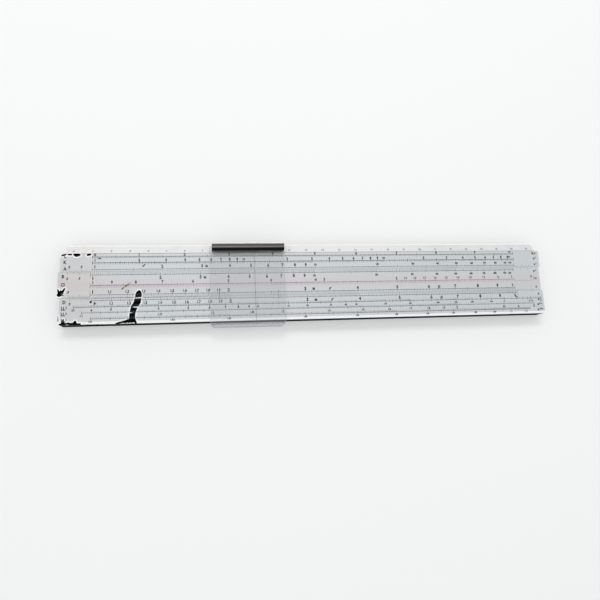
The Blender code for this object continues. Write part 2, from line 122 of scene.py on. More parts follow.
# The centimetre scale on the bevel, in mm: its zero, its lines' three lengths, its figures and its margin
RULER_ZERO = -135
RULER_LINES = (0.9, 1.3, 1.8)
RULER_FIGURES = 1.6
RULER_MARGIN = 0.2

# Shares of the scales' stroke and figure height that its lines and figures have
RULER_STROKE = 0.8
RULER_FIGURE_SHARE = 0.9


# Scales: where a value stands, as a share of the scale's length from the left index


def log_share(value, decades=1):
    """Share along a scale that holds one or more decades."""
    return math.log10(value) / decades


square_share = partial(log_share, decades=2)
cube_share = partial(log_share, decades=3)


def reversed_share(value):
    """Share along a decade that runs from right to left."""
    return 1 - math.log10(value)


def even_share(value):
    """Share along an evenly divided scale from 0 to 10."""
    return value / 10


def loglog_share(value, power):
    """Share along the log-log scale whose left index is e to the power of ten to the minus power."""
    return math.log10(math.log(value)) + power


def sine_share(degrees):
    """Share along the scale of sines, whose right index is 90 degrees."""
    return math.log10(10 * math.sin(math.radians(degrees)))


def tangent_share(degrees):
    """Share along the scale of tangents, whose right index is 45 degrees."""
    return math.log10(10 * math.tan(math.radians(degrees)))


def small_angle_share(degrees):
    """Share along the scale of small angles, where sine, tangent and arc are alike."""
    return math.log10(100 * math.radians(degrees))


class Span(NamedTuple):
    """A stretch of a scale with one spacing. The steps are those of its short, middle and long lines."""

    first: float
    last: float
    short: float
    middle: float
    long: float


def spans(*rows):
    """Spans from plain rows of numbers."""
    return [Span(*row) for row in rows]


def decades(decade, count):
    """The spans of one decade, repeated over several."""
    return [Span(*(value * 10 ** power for value in span)) for power in range(count) for span in decade]


FINE_DECADE = spans((1, 2, 0.01, 0.05, 0.1), (2, 4, 0.02, 0.1, 0.5), (4, 10, 0.05, 0.1, 0.5))
SQUARE_DECADE = spans((1, 2, 0.02, 0.1, 0.5), (2, 5, 0.05, 0.1, 0.5), (5, 10, 0.1, 0.5, 1))
CUBE_DECADE = spans((1, 3, 0.05, 0.1, 0.5), (3, 6, 0.1, 0.5, 1), (6, 10, 0.2, 1, 1))
EVEN_SPANS = spans((0, 10, 0.02, 0.1, 0.5))
LOGLOG_3_SPANS = spans(
    (2.5, 4, 0.02, 0.1, 0.5), (4, 6, 0.05, 0.1, 0.5), (6, 10, 0.1, 0.5, 1), (10, 15, 0.2, 1, 5),
    (15, 30, 0.5, 1, 5), (30, 50, 1, 5, 10), (50, 100, 2, 10, 50), (100, 200, 5, 10, 50),
    (200, 500, 20, 100, 100), (500, 1000, 50, 100, 500), (1000, 2000, 100, 500, 1000),
    (2000, 5000, 500, 1000, 1000), (5000, 10000, 1000, 5000, 5000), (10000, 50000, 5000, 10000, 10000),
    (50000, 100000, 10000, 50000, 50000),
)
LOGLOG_2_SPANS = spans(
    (1.1, 1.2, 0.001, 0.005, 0.01), (1.2, 1.5, 0.002, 0.01, 0.05), (1.5, 2, 0.005, 0.01, 0.05),
    (2, 3, 0.02, 0.1, 0.5),
)
LOGLOG_1_SPANS = spans(
    (1.01, 1.02, 0.0001, 0.0005, 0.001), (1.02, 1.05, 0.0002, 0.001, 0.005),
    (1.05, 1.113, 0.0005, 0.001, 0.005),
)
SINE_SPANS = spans(
    (5.8, 10, 0.1, 0.5, 1), (10, 20, 0.2, 1, 5), (20, 40, 0.5, 1, 5), (40, 60, 1, 5, 10),
    (60, 80, 2, 10, 10), (80, 90, 10, 10, 10),
)
TANGENT_SPANS = spans((5.8, 10, 0.1, 0.5, 1), (10, 20, 0.2, 1, 5), (20, 45, 0.5, 1, 5))
SMALL_ANGLE_SPANS = spans((0.58, 1, 0.01, 0.05, 0.1), (1, 2, 0.02, 0.1, 0.5), (2, 5.7, 0.05, 0.1, 0.5))
RULER_SPANS = spans((0, 27, 0.1, 0.5, 1))

# Spans of the red extensions before and past the indices of the square scales and of C, D and CI
SQUARE_BEFORE = spans((0.8, 1, 0.01, 0.05, 0.1))
SQUARE_PAST = spans((100, 124, 2, 10, 10))
DECADE_BEFORE = spans((0.9, 1, 0.005, 0.01, 0.05))
DECADE_PAST = spans((10, 11.2, 0.1, 0.5, 1))


def plain(*values):
    """Figures that are written as their values."""
    return {value: f"{value:g}" for value in values}


ONE_TO_TEN = plain(*range(1, 10))
TENTHS = plain(*(1 + tenth / 10 for tenth in range(1, 10)))
THREE_DECADES = {figure * 10 ** power: str(figure) for power in range(3) for figure in range(2, 10)}
THREE_DECADES.update(plain(1, 10, 100, 1000))
CIRCLE = {math.pi: "π"}
TWO_DECADES = {**ONE_TO_TEN, **plain(*range(10, 101, 10)), **CIRCLE}
MINUTES = 10800 / math.pi / 1000
DEGREES = 20 / math.pi
ONE_DECADE = {**ONE_TO_TEN, **TENTHS, **CIRCLE, 10: "1"}
GAUGED_DECADE = {**ONE_TO_TEN, **TENTHS, **CIRCLE, MINUTES: "ρ'", DEGREES: "ρ", 10: "1"}
LOGLOG_3_FIGURES = {
    **plain(2.5, *range(3, 11), 15, 20, 30, 40, 50, 100, 200, 500, 1000, 2000, 5000),
    math.e: "e", 10000: "10^4", 50000: "5^.10^4", 100000: "10^5",
}
LOGLOG_2_FIGURES = {
    **plain(1.1, 1.15, 1.2, 1.25, 1.3, 1.4, 1.5, 1.6, 1.7, 1.8, 1.9, 2, 2.5, 3), math.e: "e",
}
LOGLOG_1_FIGURES = plain(1.01, 1.015, 1.02, 1.03, 1.04, 1.05, 1.06, 1.07, 1.08, 1.09, 1.1, 1.11)
SINE_FIGURES = plain(6, 7, 8, 9, 10, 15, 20, 25, 30, 40, 50, 60, 70, 90)
TANGENT_FIGURES = plain(6, 7, 8, 9, 10, 15, 20, 25, 30, 35, 40, 45)
SMALL_ANGLE_FIGURES = plain(0.6, 0.7, 0.8, 0.9, 1, 1.5, 2, 3, 4, 5)


class Row(NamedTuple):
    """A scale's place across the rule: its joint, and in mm from it its lines' start, base and figures."""

    joint_y: float
    start: float
    base: float
    figures: float


class Scale(NamedTuple):
    """A printed scale: its letters, its row, how its values stand along it, its lines and its figures.

    The width of its lines and the size of its figures are shares of the usual ones. An indexed scale has
    its first and last figure beside a tall line, and a lined one a line where its graduations start.
    """

    name: str
    letters: str
    formula: str
    row: Row
    share: Callable
    spans: list
    figures: dict
    ink: str = "black"
    indexed: bool = True
    weight: float = 1.0
    figure_share: float = 1.0
    lined: bool = False


UPPER_SCALES = (
    Scale("L_scale", "L", "lg x", Row(UPPER_JOINT_Y, 7.75, 8.5, 9.7), even_share, EVEN_SPANS,
          plain(*range(11)), weight=1.6, figure_share=0.9),
    Scale("K_scale", "K", "x^3", Row(UPPER_JOINT_Y, 4.1, 5.1, 6.55), cube_share,
          decades(CUBE_DECADE, 3), THREE_DECADES, weight=2.2, figure_share=0.88),
    Scale("A_scale", "A", "x^2", Row(UPPER_JOINT_Y, 0.3, 1.3, 2.9), square_share,
          decades(SQUARE_DECADE, 2), TWO_DECADES, weight=1.15, figure_share=0.96),
)
LOWER_SCALES = (
    Scale("D_scale", "D", "x", Row(LOWER_JOINT_Y, -0.2, -1.65, -3.25), log_share, FINE_DECADE,
          GAUGED_DECADE, weight=1.3, figure_share=1.04),
    Scale("LL3_scale", "LL^3", "e^x", Row(LOWER_JOINT_Y, -4.1, -5.15, -6.7),
          partial(loglog_share, power=0), LOGLOG_3_SPANS, LOGLOG_3_FIGURES, indexed=False,
          weight=1.7, figure_share=0.76),
    Scale("LL2_scale", "LL^2", "e^0.1x", Row(LOWER_JOINT_Y, -7.4, -8.3, -9.85),
          partial(loglog_share, power=1), LOGLOG_2_SPANS, LOGLOG_2_FIGURES, indexed=False,
          weight=1.45, figure_share=0.84),
    Scale("LL1_scale", "LL^1", "e^0.01x", Row(LOWER_JOINT_Y, -10.6, -11.65, -13.15),
          partial(loglog_share, power=2), LOGLOG_1_SPANS, LOGLOG_1_FIGURES, indexed=False,
          weight=1.7, figure_share=0.72),
)
SLIDE_SCALES = (
    Scale("B_scale", "B", "x^2", Row(UPPER_JOINT_Y, -0.3, -1.8, -3.6), square_share,
          decades(SQUARE_DECADE, 2), TWO_DECADES, weight=1.3),
    Scale("CI_scale", "CI", "1:x", Row(SLIDE_Y, -1.75, -0.35, 1.3), reversed_share, FINE_DECADE,
          ONE_DECADE, ink="red", weight=1.3, figure_share=0.9),
    Scale("C_scale", "C", "x", Row(LOWER_JOINT_Y, 0.2, 1.6, 3.25), log_share, FINE_DECADE,
          GAUGED_DECADE, weight=1.3, figure_share=1.04),
)
BACK_SCALES = (
    Scale("S_scale", "S", "", Row(0, 4.9, 3.8, 2.4), sine_share, SINE_SPANS, SINE_FIGURES, indexed=False),
    Scale("ST_scale", "ST", "", Row(0, 0.9, -0.1, -1.5), small_angle_share, SMALL_ANGLE_SPANS,
          SMALL_ANGLE_FIGURES, indexed=False),
    Scale("T_scale", "T", "", Row(0, -5.0, -3.9, -5.9), tangent_share, TANGENT_SPANS, TANGENT_FIGURES,
          indexed=False),
)


def extension(name, row, share, scale_spans, *figures, lined=False):
    """The red graduations that carry a scale past one of its indices, with the figures of tenths."""
    texts = {figure: f"{figure:g}".lstrip("0") for figure in figures}
    return Scale(f"{name}_extension", "", "", row, share, scale_spans, texts, ink="red", figure_share=0.9,
                 lined=lined)


A_EXTENSION_ROW = Row(UPPER_JOINT_Y, 0.2, 0.9, 2.9)
B_EXTENSION_ROW = Row(UPPER_JOINT_Y, -0.2, -0.9, -3.6)
C_EXTENSION_ROW = Row(LOWER_JOINT_Y, 0.2, 0.9, 3.25)
D_EXTENSION_ROW = Row(LOWER_JOINT_Y, -0.2, -0.9, -3.25)
CI_EXTENSION_ROW = Row(SLIDE_Y, -1.65, -1.1, 1.3)
EXTENSIONS = (
    extension("A_left", A_EXTENSION_ROW, square_share, SQUARE_BEFORE, 0.8, 0.9),
    extension("A_right", A_EXTENSION_ROW, square_share, SQUARE_PAST),
    extension("D_left", D_EXTENSION_ROW, log_share, DECADE_BEFORE, 0.9),
    extension("D_right", D_EXTENSION_ROW, log_share, DECADE_PAST),
)
SLIDE_EXTENSIONS = (
    extension("B_left", B_EXTENSION_ROW, square_share, SQUARE_BEFORE, 0.8, 0.9),
    extension("B_right", B_EXTENSION_ROW, square_share, SQUARE_PAST),
    extension("CI_right", CI_EXTENSION_ROW, reversed_share, DECADE_BEFORE, 0.9),
    extension("C_left", C_EXTENSION_ROW, log_share, DECADE_BEFORE, 0.9, lined=True),
    extension("C_right", C_EXTENSION_ROW, log_share, DECADE_PAST),
)

# The letters of the rows: how far they stand out from the scales' ends, in mm, how far up from the base on
# the way to the figures, as a share, and their height as a share of the figures'
LETTER_OUT = 14.2
LETTER_WAY = 0.35
LETTER_SHARE = 1.15

# Distance of an indexed scale's end figures from their lines, as shares of the figure height: a fixed share
# and one for each digit
END_SHIFT = 0.6
DIGIT_SHIFT = 0.35

# Marks and stains as strokes, in mm on the rule: x, y and radius at one end, then at the other
STREAK_ON_SLIDE = (
    (-100.0, -4.05, 1.15, -100.2, -4.9, 1.65),
    (-100.2, -4.9, 1.65, -100.5, -7.0, 1.75),
)
STREAK_ON_STOCK = (
    (-100.3, -6.0, 1.8, -100.9, -9.4, 1.85),
    (-100.9, -9.4, 1.85, -102.4, -11.9, 1.6),
    (-102.4, -11.9, 1.75, -103.4, -15.0, 1.6),
    (-103.4, -15.0, 1.6, -103.7, -18.6, 1.6),
    (-103.7, -18.6, 1.6, -103.0, -21.3, 1.9),
    (-103.8, -20.0, 1.6, -112.2, -21.1, 0.25),
)
# Breaks in the streak where the white facing shows: the first, along the joint with the slide, and the
# last, along the lower edge, are painted highlights of edges catching the light
STREAK_GAPS_AND_HIGHLIGHTS = (
    (-103.2, -7.3, 0.12, -97.5, -7.0, 0.3),
    (-103.2, -12.3, 0.05, -99.6, -12.35, 0.36),
    (-105.8, -15.2, 0.16, -103.4, -15.5, 0.02),
    (-110.0, -21.2, 0.05, -102.5, -21.1, 0.16),
)
EDGE_BITES = (
    (-139.5, -18.4, 0.3, -139.7, -20.9, 1.3),
    (-141.4, -20.9, 0.4, -136.6, -20.6, 0.6),
    (-133.4, -19.9, 0.8, -133.6, -21.2, 1.8),
    (-136.6, -20.7, 0.6, -130.8, -21.1, 0.5),
    (-142.3, -16.6, 0.2, -142.4, -18.9, 0.5),
    (-132.0, -22.0, 0.75, -72.0, -22.0, 0.35),
)
LOWER_SPECKS = (
    (-125.6, -9.1, 0.6, -125.5, -8.9, 0.55),
    (-123.1, -9.7, 0.3, -122.9, -10.1, 0.25),
    (-124.0, -6.98, 0.07, -62.0, -6.95, 0.02),
    (123.0, -9.5, 0.22, 125.2, -11.4, 0.2),
)
SLIDE_BLOT = (
    (-142.0, -4.8, 1.15, -141.5, -4.3, 1.4),
    (-142.0, -4.0, 0.8, -142.7, -1.9, 0.35),
    (-141.5, -4.0, 0.9, -141.3, -2.5, 0.25),
    (-141.0, -4.2, 1.05, -139.2, -1.4, 0.38),
)
SLIDE_SCRATCH = (
    (-109.1, -2.0, 0.32, -108.3, -1.3, 0.22),
    (-107.2, -0.5, 0.35, -106.0, 0.4, 0.3),
    (-108.3, -1.3, 0.12, -104.8, 1.2, 0.12),
)
JOINT_DASHES = (
    (-140.9, 17.25, 0.52, -139.2, 17.75, 0.5),
    (-137.7, 17.75, 0.42, -136.3, 17.75, 0.45),
    (-134.4, 17.65, 0.72, -132.0, 17.55, 0.7),
    (-133.8, 16.9, 0.5, -132.6, 17.0, 0.45),
    (-127.4, 17.5, 0.72, -126.3, 17.8, 0.62),
)
UPPER_SPECKS = (
    (-121.9, 15.5, 0.2, -120.8, 15.4, 0.38),
    (-98.1, 10.6, 0.3, -96.9, 11.7, 0.25),
)


# Settings that a user would change


def colour_setting(name, description, *default):
    """A colour property."""
    return FloatVectorProperty(
        name=name, description=description, default=default, subtype="COLOR", min=0, max=1,
    )


def length_setting(name, description, default, precision=6):
    """A property that holds a length in metres."""
    return FloatProperty(
        name=name, description=description, default=default, unit="LENGTH", min=0, precision=precision,
    )


def place_setting(name, description, *default):
    """A property that holds a place in metres."""
    return FloatVectorProperty(
        name=name, description=description, default=default, subtype="TRANSLATION", unit="LENGTH",
        precision=4,
    )


class ScaleSettings(bpy.types.PropertyGroup):
    """Sizes of the printing."""

    length: length_setting("Scale length", "Distance between the two indices", 0.25, precision=4)
    stroke: length_setting("Stroke", "Width of a graduation line", 0.000075)
    base_stroke: length_setting("Base stroke", "Width of the line along a scale", 0.00017)
    boldness: FloatProperty(
        name="Boldness", description="Share of a figure's height by which its strokes are thickened",
        default=0.055, min=0, max=0.1,
    )
    ink_height: length_setting("Ink height", "How far the ink stands up from the facing", 0.00001)
    figure_height: length_setting("Figure height", "Height of the figures of the scales", 0.0015)
    middle_reach: length_setting("Middle reach", "How far a middle line passes its scale's base", 0.0004)
    long_reach: length_setting("Long reach", "How far a long line passes its scale's base", 0.0008)
    hairline: length_setting("Hairline", "Width of the cursor's hairlines", 0.00012)
    hairline_shift: FloatProperty(
        name="Hairline shift", description="Main hairline's distance from the middle of the pane",
        default=0.0042, unit="LENGTH", precision=5,
    )


class ColourSettings(bpy.types.PropertyGroup):
    """Colours of the rule."""

    face: colour_setting("Facing", "White facings of the stock", 0.625, 0.655, 0.675)
    slide: colour_setting("Slide facing", "White facings of the slide", 0.625, 0.643, 0.653)
    # The bevel's facing is drawn lighter than the other facings: painted light on its slope, which faces
    # the lamp
    bevel: colour_setting("Bevel", "Facing of the bevelled edge", 0.79, 0.79, 0.775)
    grime: colour_setting("Grime", "Dirt in the facings", 0.44, 0.44, 0.43)
    # Painted highlight: the lighter colour drawn on the ends and rims of the facings
    rubbed: colour_setting("Rubbed facing", "Facing on rubbed edges", 0.95, 0.95, 0.94)
    blush: colour_setting("Blush", "Facing that red ink has rubbed into", 0.65, 0.50, 0.52)
    stain: colour_setting("Stain", "Black marks on the facings", 0.001, 0.001, 0.002)
    black_ink: colour_setting("Black ink", "Ink of most scales", 0.006, 0.006, 0.009)
    red_ink: colour_setting("Red ink", "Ink of the reversed scale and the extensions", 0.095, 0.028, 0.038)
    ruler_ink: colour_setting("Ruler ink", "Faint ink of the centimetre scale", 0.25, 0.25, 0.26)
    core: colour_setting("Core", "Dark plastic of the stock and the slide", 0.006, 0.006, 0.007)
    runner: colour_setting("Dark runner", "Upper runner of the cursor", 0.045, 0.043, 0.041)
    clear: colour_setting("Clear acrylic", "Tint of the pane and the clear runner", 0.50, 0.51, 0.54)
    plate: colour_setting("Back plate", "Brushed aluminium", 0.60, 0.61, 0.62)
    steel: colour_setting("Steel", "Screws and leaf spring", 0.46, 0.46, 0.47)


class StageSettings(bpy.types.PropertyGroup):
    """Camera, lamp and floor."""

    camera_place: place_setting("Camera place", "Where the camera stands", -0.0587, -0.0651, 0.3174)
    camera_turn: FloatVectorProperty(
        name="Camera turn", description="Camera's angles about X, Y and Z", subtype="EULER",
        default=(math.radians(10.38), math.radians(-8.46), math.radians(-2.70)),
    )
    lens: FloatProperty(
        name="Lens", description="Focal length on a 36 mm wide frame", default=33.0, min=5, unit="CAMERA",
    )
    key_place: place_setting("Lamp place", "Where the lamp stands", -0.08, 0.62, 0.89)
    key_length: length_setting("Lamp length", "The lamp's side along the rule", 0.50, precision=3)
    key_width: length_setting("Lamp width", "The lamp's other side", 0.25, precision=3)
    key_power: FloatProperty(
        name="Lamp power", description="Power of the lamp", default=3.5, min=0, unit="POWER",
    )
    fill: FloatProperty(name="Fill", description="Even light from all round", default=0.73, min=0)
    floor: colour_setting("Floor", "Colour of the floor", 0.92, 0.92, 0.92)


class SlideRuleSettings(bpy.types.PropertyGroup):
    """All settings of the rule."""

    scales: PointerProperty(type=ScaleSettings)
    colours: PointerProperty(type=ColourSettings)
    stage: PointerProperty(type=StageSettings)


# Materials


class Reading:
    """A number at a socket of a node tree. Sums on it add Math nodes."""

    def __init__(self, nodes, socket):
        self.nodes = nodes
        self.socket = socket

    def __add__(self, other):
        return self.nodes.math("ADD", self, other)

    __radd__ = __add__

    def __sub__(self, other):
        return self.nodes.math("SUBTRACT", self, other)

    def __rsub__(self, other):
        return self.nodes.math("SUBTRACT", other, self)

    def __mul__(self, other):
        return self.nodes.math("MULTIPLY", self, other)

    __rmul__ = __mul__

    def __truediv__(self, other):
        return self.nodes.math("DIVIDE", self, other)

    def __rtruediv__(self, other):
        return self.nodes.math("DIVIDE", other, self)

    def __pow__(self, other):
        return self.nodes.math("POWER", self, other)

    def __rpow__(self, other):
        return self.nodes.math("POWER", other, self)

    def __abs__(self):
        return self.nodes.math("ABSOLUTE", self)


class Nodes:
    """Adds nodes to the node tree of a material or a world."""

    def __init__(self, tree):
        self.tree = tree

    def feed(self, node, sockets):
        """Sets or links a node's sockets from readings, sockets, numbers and colours."""
        for key, value in sockets.items():
            socket = node.inputs[key]
            if isinstance(value, Reading):
                value = value.socket
            if isinstance(value, bpy.types.NodeSocket):
                self.tree.links.new(value, socket)
            elif socket.type == "RGBA":
                socket.default_value = (*value, 1.0)
            else:
                socket.default_value = value

    def node(self, kind, sockets=None, **settings):
        """A node of a type. Its settings are set first, and then its sockets."""
        made = self.tree.nodes.new(kind)
        for key, value in settings.items():
            setattr(made, key, value)
        self.feed(made, sockets or {})
        return made

    def math(self, operation, *numbers):
        """A Math node as a reading."""
        made = self.node("ShaderNodeMath", dict(enumerate(numbers)), operation=operation)
        return Reading(self, made.outputs[0])

    def least(self, *readings):
        """The smallest of several readings."""
        return reduce(partial(self.math, "MINIMUM"), readings)

    def greatest(self, *readings):
        """The largest of several readings."""
        return reduce(partial(self.math, "MAXIMUM"), readings)

    def end(self, output, factor, first, second):
        """Ends the tree in a mix of two shaders."""
        sockets = {0: factor, 1: first.outputs[0], 2: second.outputs[0]}
        made = self.node("ShaderNodeMixShader", sockets)
        self.feed(self.tree.nodes[output], {"Surface": made.outputs[0]})


class Finish(Nodes):
    """A material and the nodes that make it."""

    def __init__(self, name, fixed):
        self.material = bpy.data.materials.new(name)
        self.material.use_nodes = True
        super().__init__(self.material.node_tree)
        self.shader = self.tree.nodes["Principled BSDF"]
        self.feed(self.shader, fixed)
        self.coordinates = self.node("ShaderNodeTexCoord").outputs["Object"]

    def rise(self, reading, low, high):
        """A smooth rise from zero to one while a reading goes from low to high."""
        sockets = {"Value": reading, "From Min": low, "From Max": high}
        made = self.node("ShaderNodeMapRange", sockets, interpolation_type="SMOOTHSTEP")
        return Reading(self, made.outputs["Result"])

    def fall(self, reading, low, high):
        """A smooth fall from one to zero while a reading goes from low to high."""
        return 1 - self.rise(reading, low, high)

    def place(self):
        """The place on the rule as three readings in mm."""
        split = self.node("ShaderNodeSeparateXYZ", {"Vector": self.coordinates})
        return [Reading(self, output) / MM for output in split.outputs]

    def noise(self, size, seed, detail=2.0, drawn=(1, 1, 1)):
        """A soft random reading from 0 to 1, with features of a size in mm, drawn out along the axes."""
        vector = self.coordinates
        if drawn != (1, 1, 1):
            shrink = [1 / times for times in drawn]
            vector = self.node("ShaderNodeMapping", {"Vector": vector, "Scale": shrink}).outputs[0]
        sockets = {"Vector": vector, "W": seed, "Scale": 1 / (size * MM), "Detail": detail}
        made = self.node("ShaderNodeTexNoise", sockets, noise_dimensions="4D")
        return Reading(self, made.outputs[0])

    def mix(self, factor, first, second, blend_type="MIX"):
        """A colour between two colours, or the first blended with the second in another way."""
        sockets = {0: factor, 6: first, 7: second}
        made = self.node("ShaderNodeMix", sockets, data_type="RGBA", blend_type=blend_type)
        return made.outputs[2]

    def bump(self, height, strength, depth):
        """A bump from a height, whose full rise stands for a depth in mm."""
        sockets = {"Height": height, "Strength": strength, "Distance": depth * MM}
        return self.node("ShaderNodeBump", sockets).outputs["Normal"]

    def blend(self, factor, second):
        """Gives way to a second shader where a factor is one."""
        self.end("Material Output", factor, self.shader, second)

    def done(self, sockets):
        """Feeds the shader and gives the material."""
        self.feed(self.shader, sockets)
        return self.material

    def stroke(self, x, y, marks):
        """Distance in mm from the nearest of several tapered strokes, below zero inside them."""
        distances = []
        for start_x, start_y, start_radius, end_x, end_y, end_radius in marks:
            run_x = end_x - start_x
            run_y = end_y - start_y
            length = math.hypot(run_x, run_y)
            from_x = x - start_x
            from_y = y - start_y
            along = (from_x * run_x + from_y * run_y) / length ** 2
            along = self.least(self.greatest(along, 0.0), 1.0)
            off_x = from_x - along * run_x
            off_y = from_y - along * run_y
            radius = along * (end_radius - start_radius) + start_radius
            distances.append((off_x * off_x + off_y * off_y) ** 0.5 - radius)
        return self.least(*distances)


# Tones that age gives the facings: at their left end, in their middle and at their right end
AGED_LEFT = (0.98, 0.95, 0.925)
AGED_MIDDLE = (1.0, 1.0, 1.0)
AGED_RIGHT = (0.98, 1.0, 0.992)

# Colours of the marks on the facings
HALO = (0.93, 0.93, 0.93)
SPECK = (0.02, 0.012, 0.016)
SCRATCH = (0.045, 0.025, 0.018)
SCRATCH_TINT = (0.55, 0.50, 0.36)

# Colours of dust and milling marks on the dark cores
CORE_DUST = (0.035, 0.033, 0.03)
CORE_MILLING = (0.03, 0.03, 0.03)

# Colours of the dark runner: painted shade on its front, its brushing, and painted highlights on its ridge,
# front lip and back edge
RUNNER_FRONT_SHADE = (0.001, 0.001, 0.001)
RUNNER_BRUSHING = (0.08, 0.08, 0.075)
RUNNER_RIDGE_HIGHLIGHT = (0.115, 0.115, 0.11)
RUNNER_LIP_HIGHLIGHT = (0.16, 0.16, 0.155)
RUNNER_BACK_HIGHLIGHT = (0.80, 0.77, 0.70)

# Colours of clear rims, scratched metal and tarnish
CLEAR_RIM = (0.72, 0.73, 0.75)
METAL_SCRATCH = (0.75, 0.75, 0.75)
PLATE_TARNISH = (0.42, 0.42, 0.41)
SCREW_TARNISH = (0.24, 0.22, 0.20)
SPRING_TARNISH = (0.20, 0.19, 0.22)

# Refractive indices: of most finishes, of the dark cores and of the clear pieces
USUAL_IOR = 1.5
CORE_IOR = 1.52
ACRYLIC_IOR = 1.49


def facing_finish(name, colours, seed, base, box, stains=(), gaps=(), specks=(), scratches=(), rims=(),
                  blush=None):
    """White facing: drifting tone, fine scratches along the rule, grime, darkening towards the right end,
    painted highlights on its ends and rims, and its own marks.

    Rims name the long edges that get a painted highlight, and blush is the middle of a band tinged by red
    ink, in mm.
    """
    finish = Finish(name, {"IOR": USUAL_IOR})
    x, y, _ = finish.place()
    low, high = (corner / MM for corner in box)

    drift = finish.noise(34, seed, detail=3, drawn=(2.5, 1, 1))
    clouds = finish.noise(5, seed + 1.7, detail=3)
    grain = finish.noise(0.35, seed + 3.1, detail=2)
    hair = finish.noise(0.22, seed + 5.3, detail=3, drawn=(60, 1, 1))
    dirt = finish.rise(drift * 0.55 + clouds * 0.45, 0.45, 0.72)
    # The facings grow darker towards the right end
    right_darkening = finish.rise(x, -40, 150)
    fine = finish.rise(hair, 0.58, 0.75)
    aged = finish.mix(finish.rise(x + (drift - 0.5) * 30, -130, -108), AGED_LEFT, AGED_MIDDLE)
    aged = finish.mix(finish.rise(x, 0, 130), aged, AGED_RIGHT)
    colour = finish.mix(dirt * 0.2 + right_darkening * 0.15, base, colours.grime)
    colour = finish.mix(1.0, colour, aged, "MULTIPLY")
    colour = finish.mix(fine * 0.16 + finish.rise(grain, 0.62, 0.8) * 0.06, colour, colours.grime)
    if blush is not None:
        tinged = finish.fall(abs(y - blush), 0.8, 5.2)
        colour = finish.mix(tinged * 0.27, colour, colours.blush)

    # Painted highlight: the ends of the rule are drawn lighter, and its rims more so, where their edges
    # catch the light
    uneven = (clouds - 0.5) * 0.5
    rubbed = [finish.fall(finish.least(x - low.x, high.x - x) + uneven, 0.25, 0.75) * 0.6]
    if "low" in rims:
        rubbed.append(finish.fall(y - low.y + uneven * 0.6, 1.1, 1.5))
    if "high" in rims:
        rubbed.append(finish.fall(high.y - y + uneven * 0.6, 0.5, 0.9))
    colour = finish.mix(finish.greatest(*rubbed) * 0.95, colour, colours.rubbed)

    height = grain * 0.25 + (1 - fine) * 0.6
    wobble = (finish.noise(1.1, seed + 8.9, detail=2) - 0.5) * 0.7 + (grain - 0.5) * 0.25
    if scratches:
        distance = finish.stroke(x, y, scratches)
        colour = finish.mix(finish.fall(distance, 0.2, 2.4) * 0.35, colour, SCRATCH_TINT)
        colour = finish.mix(finish.fall(distance + wobble * 0.4, -0.1, 0.15), colour, SCRATCH)
    if specks:
        distance = finish.stroke(x, y, specks) + wobble * 0.3
        colour = finish.mix(finish.fall(distance, -0.05, 0.12), colour, SPECK)
    if stains:
        distance = finish.stroke(x, y, stains) + wobble * 0.6
        colour = finish.mix(finish.fall(distance, 0.35, 1.0) * 0.9, colour, HALO)
        stain = finish.fall(distance, -0.06, 0.08)
        # Breaks in the stain, partly painted highlights where its edges catch the light
        if gaps:
            stain = stain * finish.rise(finish.stroke(x, y, gaps) + wobble * 0.9, -0.05, 0.12)
        height = height - stain * 0.9
        black = {"Base Color": colours.stain, "Roughness": 0.6, "Specular IOR Level": 0.03}
        finish.blend(stain, finish.node("ShaderNodeBsdfPrincipled", black))

    return finish.done({
        "Base Color": colour,
        "Roughness": 0.34 + clouds * 0.12 + fine * 0.1,
        "Normal": finish.bump(height, 0.35, 0.02),
    })


def ink_finish(name, ink, facing, seed, worn=0.18):
    """Printed ink that has rubbed thin in places."""
    finish = Finish(name, {"IOR": USUAL_IOR})
    thin = finish.rise(finish.noise(3.0, seed, detail=4), 0.42, 0.78)
    pits = finish.rise(finish.noise(0.2, seed + 4, detail=2), 0.6, 0.75)
    colour = finish.mix(thin * worn + pits * worn * 0.4, ink, facing)
    return finish.done({"Base Color": colour, "Roughness": 0.42 + thin * 0.2})


def face_inks(body, colours, seed):
    """The black and the red ink on a body's facings."""
    return {
        "black": ink_finish(f"{body}_ink", colours.black_ink, colours.face, seed),
        "red": ink_finish(f"{body}_red_ink", colours.red_ink, colours.face, seed + 4),
    }


def core_finish(name, core, seed):
    """Dark moulded plastic, milled along the rule and dusty towards its foot."""
    finish = Finish(name, {"IOR": CORE_IOR, "Specular IOR Level": 0.1})
    _, _, z = finish.place()
    milling = finish.noise(0.12, seed, detail=3, drawn=(90, 1, 1))
    dust = finish.noise(2.2, seed + 2, detail=4)
    low = finish.fall(z, 0.2, 3.0)
    dusty = finish.rise(dust + low * 0.14, 0.5, 0.78)
    colour = finish.mix(dusty * 0.3, core, CORE_DUST)
    colour = finish.mix(finish.rise(milling, 0.6, 0.8) * 0.4, colour, CORE_MILLING)
    return finish.done({
        "Base Color": colour,
        "Roughness": 0.5 + dusty * 0.25 + milling * 0.12,
        "Normal": finish.bump(milling + dust * 0.3, 0.4, 0.02),
    })


